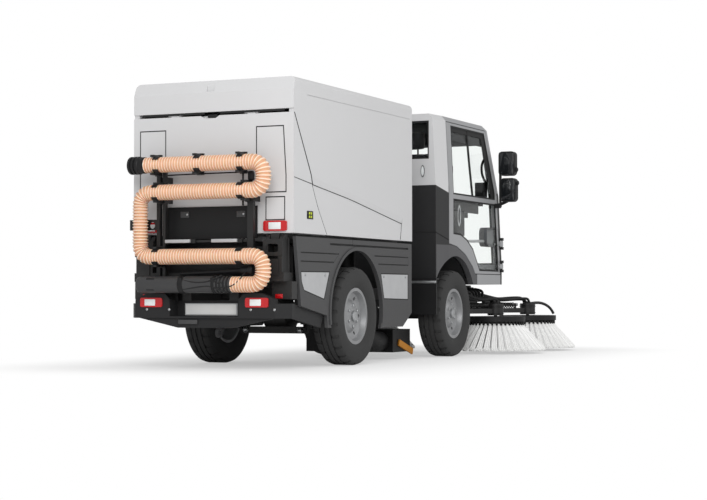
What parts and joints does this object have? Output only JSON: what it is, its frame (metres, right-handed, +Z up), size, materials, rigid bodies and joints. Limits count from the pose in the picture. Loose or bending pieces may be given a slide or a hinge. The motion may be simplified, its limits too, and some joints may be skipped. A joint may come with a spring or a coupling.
{
  "type": "compact street sweeper",
  "caption": "Compact street sweeper with a tipping hopper, rear door with a clipped suction hose, two-door cab, side and front brushes and a suction mouth.",
  "frame": {"origin": "on the ground below the middle of the overall length and width", "axes": "+X forward, +Y to the left, +Z up"},
  "size_m": [5.5445, 2.1342, 1.9879],
  "materials": {
    "tyre_rubber": "matt",
    "rim_paint": "satin",
    "chassis_paint": "satin",
    "body_white": "gloss",
    "panel_black": "matt",
    "skirt_grey": "matt",
    "cab_grey": "satin",
    "glass": "clear",
    "lamp_red": "gloss",
    "lamp_clear": "gloss",
    "rack_steel": "satin",
    "hose_polyurethane": "satin",
    "plate_white": "satin",
    "battery_case": "matt",
    "seat_fabric": "woven",
    "disc_plastic": "matt",
    "bristle_plastic": "matt"
  },
  "bodies": {
    "chassis": {"battery_block": "battery_case", "brush_carrier": "chassis_paint", "bumper_lamps": "lamp_red", "cab_back": "body_white", "cab_frame": "cab_grey", "cab_tub": "skirt_grey", "chassis_frame": "chassis_paint", "dashboard": "panel_black", "fenders": "cab_grey", "front_axle": "chassis_paint", "headlamps": "lamp_clear", "mudguards": "panel_black", "plates": "plate_white", "rear_axle": "chassis_paint", "rear_bumper": "skirt_grey", "rear_window": "glass", "seats": "seat_fabric", "sills": "cab_grey", "skirt_left": "skirt_grey", "skirt_right": "skirt_grey", "steering_wheel": "panel_black", "suction_duct": "panel_black", "suction_mouth": "panel_black", "track_rod": "chassis_paint", "windscreen": "glass"},
    "knuckle_left": {"knuckle_left": "chassis_paint"},
    "knuckle_right": {"knuckle_right": "chassis_paint"},
    "hopper": {"hopper_shell": "body_white", "hopper_cap": "body_white", "hopper_subframe": "chassis_paint"},
    "gate": {"rear_door": "body_white", "door_panel": "panel_black", "tail_lamps": "lamp_red", "hose_rack": "rack_steel", "suction_hose": "hose_polyurethane", "hose_cuff": "panel_black", "hose_wand": "panel_black"},
    "door_left": {"door_left": "cab_grey", "door_glass_left": "glass", "mirrors_left": "panel_black"},
    "door_right": {"door_right": "cab_grey", "door_glass_right": "glass", "mirrors_right": "panel_black"},
    "wheel_front_left": {"tyre_front_left": "tyre_rubber", "rim_front_left": "rim_paint"},
    "wheel_front_right": {"tyre_front_right": "tyre_rubber", "rim_front_right": "rim_paint"},
    "wheel_rear_left": {"tyre_rear_left": "tyre_rubber", "rim_rear_left": "rim_paint"},
    "wheel_rear_right": {"tyre_rear_right": "tyre_rubber", "rim_rear_right": "rim_paint"},
    "arm_left": {"brush_arm_left": "chassis_paint"},
    "brush_left": {"brush_disc_left": "disc_plastic", "bristles_left": "bristle_plastic"},
    "arm_right": {"brush_arm_right": "chassis_paint"},
    "brush_right": {"brush_disc_right": "disc_plastic", "bristles_right": "bristle_plastic"},
    "arm_front": {"brush_arm_front": "chassis_paint"},
    "brush_front": {"brush_disc_front": "disc_plastic", "bristles_front": "bristle_plastic"}
  },
  "joints": [
    {"name": "steer_left", "type": "hinge", "parent": "chassis", "child": "knuckle_left", "pos_m": [0.443, 0.47, 0.355], "axis": [0, 0, 1], "range_deg": [-32, 32]},
    {"name": "steer_right", "type": "hinge", "parent": "chassis", "child": "knuckle_right", "pos_m": [0.443, -0.47, 0.355], "axis": [0, 0, 1], "range_deg": [-32, 32]},
    {"name": "spin_front_left", "type": "hinge", "parent": "knuckle_left", "child": "wheel_front_left", "pos_m": [0.443, 0.527, 0.355], "axis": [0, 1, 0], "continuous": true},
    {"name": "spin_front_right", "type": "hinge", "parent": "knuckle_right", "child": "wheel_front_right", "pos_m": [0.443, -0.527, 0.355], "axis": [0, 1, 0], "continuous": true},
    {"name": "spin_rear_left", "type": "hinge", "parent": "chassis", "child": "wheel_rear_left", "pos_m": [-1.504, 0.527, 0.355], "axis": [0, 1, 0], "continuous": true},
    {"name": "spin_rear_right", "type": "hinge", "parent": "chassis", "child": "wheel_rear_right", "pos_m": [-1.504, -0.527, 0.355], "axis": [0, 1, 0], "continuous": true},
    {"name": "open_door_left", "type": "hinge", "parent": "chassis", "child": "door_left", "pos_m": [1.522, 0.645, 0.8], "axis": [0, 0, -1], "range_deg": [0, 70]},
    {"name": "open_door_right", "type": "hinge", "parent": "chassis", "child": "door_right", "pos_m": [1.522, -0.645, 0.8], "axis": [0, 0, 1], "range_deg": [0, 70]},
    {"name": "tip_hopper", "type": "hinge", "parent": "chassis", "child": "hopper", "pos_m": [-2.54, 0, 0.88], "axis": [0, -1, 0], "range_deg": [0, 45]},
    {"name": "open_gate", "type": "hinge", "parent": "hopper", "child": "gate", "pos_m": [-2.52, 0, 1.755], "axis": [0, 1, 0], "range_deg": [0, 18]},
    {"name": "swing_arm_left", "type": "hinge", "parent": "chassis", "child": "arm_left", "pos_m": [0.98, 0.42, 0.37], "axis": [0, 0, 1], "range_deg": [0, 25]},
    {"name": "swing_arm_right", "type": "hinge", "parent": "chassis", "child": "arm_right", "pos_m": [0.98, -0.42, 0.37], "axis": [0, 0, -1], "range_deg": [0, 25]},
    {"name": "swing_arm_front", "type": "hinge", "parent": "chassis", "child": "arm_front", "pos_m": [1.69, -0.25, 0.37], "axis": [0, 0, 1], "range_deg": [0, 60]},
    {"name": "spin_brush_left", "type": "hinge", "parent": "arm_left", "child": "brush_left", "pos_m": [1.42, 0.62, 0.3], "axis": [0, 0, 1], "continuous": true},
    {"name": "spin_brush_right", "type": "hinge", "parent": "arm_right", "child": "brush_right", "pos_m": [1.42, -0.62, 0.3], "axis": [0, 0, 1], "continuous": true},
    {"name": "spin_brush_front", "type": "hinge", "parent": "arm_front", "child": "brush_front", "pos_m": [2.328, -0.605, 0.3], "axis": [0, 0, 1], "continuous": true}
  ],
  "couplings": [
    {"joint": "steer_right", "follows": "steer_left", "ratio": 1},
    {"joint": "open_gate", "follows": "tip_hopper", "ratio": 0.4}
  ]
}
